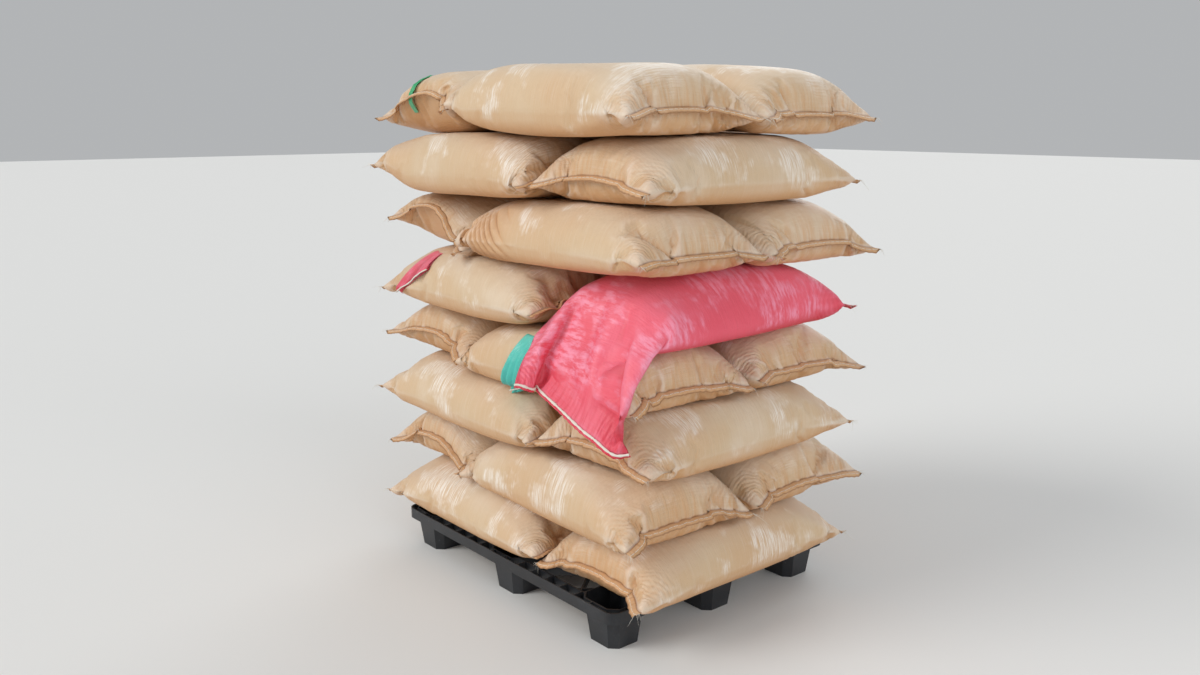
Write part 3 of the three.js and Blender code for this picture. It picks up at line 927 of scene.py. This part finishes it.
# The slack mouth hangs in front of the sacks below it.
HANGING_CLEAR = ((LOWER, 0.003), (UPPER, 0.008))
HANGS_BELOW = PALLET_TOP + 4 * LAYER_HEIGHT + 0.06


def front_of(sack, x, z, missing):
    """The y of a sack's front at this x and z, or missing where the sack doesn't reach."""
    hit = sack.ray_cast((x, -1, z), (0, 1, 0))[0]
    return hit.y if hit else missing


def hang_clear(points, index, sacks):
    """Moves the hanging mouth out in front of the sacks that it touches, its lower layer of cloth closest."""
    for side, clear in HANGING_CLEAR:
        for i in np.unique(index[side, : GRID[0] // 3]):
            x, y, z = points[i]
            if z < HANGS_BELOW:
                front = min(front_of(sack, x, z, missing=1) for sack in sacks)
                points[i, 1] = min(y, front - clear)


# Sewing gathers the cloth into ruffles, deepest at the seam: waves of these shares of the depth and these
# pitches in rows, which reach this many columns in. One sack's base was tied, and is gathered most.
RUFFLES = ((0.6, 4.4), (0.4, 6.3), (0.35, 9.5))
RUFFLE_REACH = 15
RUFFLE_DEPTH = 0.0022
TIED_DEPTH = 0.007
TIED_SACK = "sack_6_front"


def ruffle(mesh, points, index, end, depth, rng):
    """Waves the cloth near one end in and out, by up to depth."""
    normals = normals_of(mesh)
    rows = np.arange(GRID[1] + 1) * FINE_ROWS / GRID[1]
    for side in (UPPER, LOWER):
        wave = sum(
            share * np.sin(rows * 2 * math.pi / (pitch + rng.uniform(-0.3, 0.3)) + rng.uniform(0, FULL_TURN))
            for share, pitch in RUFFLES
        )
        for step in range(RUFFLE_REACH):
            here = index[side, step if end == 0 else end - step]
            fade = (1 - step / RUFFLE_REACH) ** 1.6
            points[here] += normals[here] * (depth * fade * wave)[:, None]


# Below the tie its cloth hangs in upright folds, which spread from a point at the top of the layer.
FOLD_ANGLE = 0.14
FOLD_DEPTH = 0.011
FOLD_SHADE = 0.026


def gathering(mesh):
    """How far each point of the tied sack is gathered, from 0 to 1."""
    from_base = (GRID[0] - attribute_of(mesh, "column")) * SEWN_LENGTH / GRID[0]
    from_free_side = attribute_of(mesh, "row") * FLAT_WIDTH / GRID[1]
    shown = 1 - swell(from_free_side, np.where(attribute_of(mesh, "side") == LOWER, 0.08, 0.03), 0.16)
    return swell(from_base, 0.01, 0.05) * (1 - swell(from_base, 0.2, 0.38)) * shown


def fold_down(bm, pivot, rng):
    """Folds the gathered part of a sack, on a finer mesh."""
    gathered = bm.verts.layers.float["gathered"]
    hollow = bm.verts.layers.float["hollow"]
    near = [e for e in bm.edges if min(v[gathered] for v in e.verts) > 0.01]
    bmesh.ops.subdivide_edges(bm, edges=near, cuts=2, use_grid_fill=True)
    bm.normal_update()
    uneven = rng.uniform(0, FULL_TURN, 2)
    moves = []
    for v in bm.verts:
        if v[gathered] > 0:
            aside, below = v.co.x - pivot.x, pivot.z - v.co.z + 0.05
            turn = math.atan2(aside, below) / FOLD_ANGLE
            turn += 0.35 * math.sin(turn * 0.8 + uneven[0]) + 0.2 * math.sin(below * 30 + uneven[1])
            wave = abs(math.sin(math.pi * turn)) - 0.6
            moves.append((v, v.normal * (FOLD_DEPTH * wave * v[gathered])))
            v[hollow] += FOLD_SHADE * max(0.1 - wave, 0) * v[gathered]
    for v, move in moves:
        v.co += move


def mark(mesh, name, values):
    """Gives each point of a mesh a value that its finish reads."""
    mesh.attributes.new(name, "FLOAT", "POINT").data.foreach_set("value", values)


# Each sack in its place, from the bottom up: its points are set, its sewn ends ruffled, its hollows and its
# own pattern marked for its finish, and its hems and threads added. Its finish darkens the hollows, and the
# tied sack's gathered folds, as painted shade. The slack one is smoothed and hung clear.
SLACK_ROUNDS = 3
HOLLOW_ROUNDS = 12
PATTERN_STEP = 1.37
PIVOT_INSIDE = 0.04
PALLET_CLEAR = 0.0003
dressed = {}
for number, (name, (shape_name, levels)) in enumerate(SACKS.items()):
    layer = int(name.split("_")[-2])
    kind = name.split("_")[-1]
    slack = shape_name == "slack"
    rng = np.random.default_rng(100 + number)
    mesh = shapes[shape_name].copy()
    mesh.name = name
    placed = stacked(mesh, layer, kind, levels, rng)
    index = grid_of(mesh)
    if slack:
        placed = relaxed(mesh, placed, SLACK_ROUNDS)
        hang_clear(placed, index, [dressed["sack_4_front"], dressed["sack_3_front"], dressed["sack_3_cross"]])
    mesh.vertices.foreach_set("co", placed.ravel())
    if is_turned_over(layer, kind):
        mesh.flip_normals()
    mesh.polygons.foreach_set("use_smooth", [True] * len(mesh.polygons))
    mesh.update()
    if not slack:
        for end in (0, GRID[0]):
            ruffle(mesh, placed, index, end, TIED_DEPTH if name == TIED_SACK and end else RUFFLE_DEPTH, rng)
        mesh.vertices.foreach_set("co", placed.ravel())
        mesh.update()
    mark(mesh, "hollow", hollowness(mesh, placed, HOLLOW_ROUNDS))
    mark(mesh, "own_pattern", [number * PATTERN_STEP] * len(mesh.vertices))
    mark(mesh, "gathered", gathering(mesh) if name == TIED_SACK else [0.0] * len(mesh.vertices))
    bm = bmesh.new()
    bm.from_mesh(mesh)
    dressed[name] = BVHTree.FromBMesh(bm)
    for end in (0, GRID[0]):
        overlocked = slack and end == 0
        narrow = kind != "cross" and end != 0
        sew_end(bm, placed, index, end, rng, overlocked, narrow)
    if name == TIED_SACK:
        ear = placed[index[UPPER, GRID[0], 0]]
        fold_down(bm, Vector((ear[0] + PIVOT_INSIDE, ear[1], PALLET_TOP + layer * LAYER_HEIGHT)), rng)
    if layer == 1:
        for v in bm.verts:
            v.co.z = max(v.co.z, PALLET_TOP + PALLET_CLEAR)
    bm.to_mesh(mesh)
    bm.free()
    sack = new_object(name + "_bag", mesh, red_weave if slack else tan_weave, sewing_thread)
    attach(sack, "root")
    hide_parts(name)


# Two corners of other sacks' mouths, one red and one teal, that hang out between the layers. Each is two
# layers of cloth, overlocked along the cut edge, and lies on the round side of the sack below.
CORNER_THICKNESS = 0.0009
CORNER_OVERLOCK = 0.62 * OVERLOCK
CORNER_GRID = (24, 30)
TUCKED_ROWS = 4


def loose_corner(name, corners, over, folds, depth, finish):
    """Hangs a corner over a sack's surface, in folds of this depth. corners are (x, z) at the top left,
    top right, bottom right and bottom left, seen from the front."""
    rng = np.random.default_rng(len(name))
    top_left, top_right, bottom_right, bottom_left = (np.array(c) for c in corners)
    bm = bmesh.new()
    uv = bm.loops.layers.uv.new("flat")
    hollow = bm.verts.layers.float.new("hollow")
    columns, rows = CORNER_GRID
    hem = []
    for behind in (0, 1):
        made = bmesh.ops.create_grid(bm, x_segments=columns, y_segments=rows + TUCKED_ROWS, size=0.5)["verts"]
        for v in made:
            # s leads from left to right, and t from 0, where the corner comes out, to 1 at its hem.
            s = v.co.x + 0.5
            t = (0.5 - v.co.y) * (rows + TUCKED_ROWS) / rows - TUCKED_ROWS / rows
            down = max(t, 0) * (1.07 if behind else 1)
            top, bottom = top_left * (1 - s) + top_right * s, bottom_left * (1 - s) + bottom_right * s
            x, z = top * (1 - down) + bottom * down
            front = front_of(over, x, z, missing=-0.4)
            wave = math.sin(s * folds * FULL_TURN + t * 1.4 + behind) * 0.5 + 0.5
            lift = (0.002 if behind else 0.005) + depth * wave * (0.2 + 0.8 * down) * (0.4 if behind else 1)
            # This hollow value is painted shade that the finish puts into the valleys of the folds.
            v[hollow] = 1.8 * depth * max(0.5 - wave, 0) * (0.2 + 0.8 * down)
            v.co = (x, front - lift - min(t, 0) * 0.12, z - min(t, 0) * 0.02)
            if not behind and abs(t - 1) < 1e-4:
                hem.append((s, v.co.copy()))
            for loop in v.link_loops:
                loop[uv].uv = (s * 0.2 - 0.4 * (1 - down), t * 0.2)
        for face in {f for v in made for f in v.link_faces}:
            face.smooth = True
            face.material_index = CLOTH
    line = np.array([point for s, point in sorted(hem, key=lambda at: at[0])])
    thickness = CORNER_OVERLOCK * (1 + rng.normal(0, 0.08, len(line)))
    strand(bm, line + (0, -0.002, 0), thickness, THREADS, sides=6)
    bmesh.ops.recalc_face_normals(bm, faces=bm.faces)
    cloth = new_object(name + "_cloth", new_mesh(name, bm), finish, sewing_thread)
    cloth.modifiers.new("thickness", "SOLIDIFY").thickness = CORNER_THICKNESS
    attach(cloth, "root")
    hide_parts(name)


teal_weave = woven(
    "teal_weave",
    cloth=(0.09, 0.62, 0.52),
    wear_and_highlight=(0.45, 0.85, 0.8),
    deep=(0.01, 0.2, 0.2),
    amber=(0.05, 0.45, 0.4),
)
loose_corner(
    "red_sack_corner",
    corners=((-0.5, 1.118), (-0.4, 1.12), (-0.4, 1.072), (-0.572, 0.972)),
    over=dressed["sack_5_front"],
    folds=1.3,
    depth=0.014,
    finish=red_weave,
)
loose_corner(
    "teal_sack_corner",
    corners=((0.135, 0.918), (0.25, 0.918), (0.275, 0.79), (0.035, 0.714)),
    over=dressed["sack_4_front"],
    folds=5.6,
    depth=0.011,
    finish=teal_weave,
)


# A strip of thin green plastic tape that tied the top cross sack's mouth. It lies over the sack's top edge
# and its hem, and its torn end is narrower and paler. Of the record's slots, the teal one is closest to it.
TAPE_WIDTH = 0.034
TAPE_LENGTH = 0.2
TAPE_THICKNESS = 0.0005
TAPE_CLEAR = 0.003
TAPE_FOLD = 0.002
TAPE_OVER_HEM = 0.012
TAPE_STARTS, TAPE_TURNS = 78, 100
TAPE_X = -0.545
TAPE_CENTRE = (-0.31, 1.64)
green_tape, paint, shader = new_finish("green_tape")
along = paint.node("UVMap", {"uv_map": "flat"}, {})
creases = along.stretched(1, 0.12, 1).noise(0.003, 4, 0.6)
length = paint.node("SeparateXYZ", {}, {0: along}, output=1)
colour = paint.node("RGB", {}, {})
colour.socket.default_value = (0.03, 0.36, 0.14, 1)
colour = colour.tinted((0.2, 0.58, 0.36, 1), length.ramp(0.11, 0.2) * 0.8)
colour = colour.tinted((0.35, 0.62, 0.45, 1), creases.ramp(0.5, 0.75) * 0.4)
feed(shader, "Base Color", colour)
feed(shader, "Roughness", 0.4 + creases * 0.1)
feed(shader, "Normal", paint.node("Bump", {}, {"Strength": 1.0, "Distance": 1.0, "Height": creases * 0.0015}))
bm = bmesh.new()
uv = bm.loops.layers.uv.new("flat")
bmesh.ops.create_grid(bm, x_segments=6, y_segments=40, size=0.5)
for v in bm.verts:
    across, down = v.co.x, 0.5 - v.co.y
    width = TAPE_WIDTH * (1 - 0.55 * down**3)
    angle = math.radians(TAPE_STARTS - TAPE_TURNS * down)
    facing = Vector((0, -math.cos(angle), math.sin(angle)))
    start = Vector((TAPE_X + across * width + 0.012 * math.sin(down * 4), *TAPE_CENTRE)) + facing * 0.5
    hit = dressed["sack_8_cross"].ray_cast(start, -facing)[0]
    over_hem = math.exp(-(((down - 0.72) / 0.16) ** 2))
    fold = TAPE_FOLD * math.sin(across * 9 + down * 7)
    v.co = hit + facing * (TAPE_CLEAR + TAPE_OVER_HEM * over_hem + fold + TAPE_FOLD)
    for loop in v.link_loops:
        loop[uv].uv = (across * width, down * TAPE_LENGTH)
for face in bm.faces:
    face.smooth = True
bmesh.ops.recalc_face_normals(bm, faces=bm.faces)
tape = new_object("green_tape", new_mesh("green_tape", bm), green_tape)
tape.modifiers.new("thickness", "SOLIDIFY").thickness = TAPE_THICKNESS
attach(tape, "root")
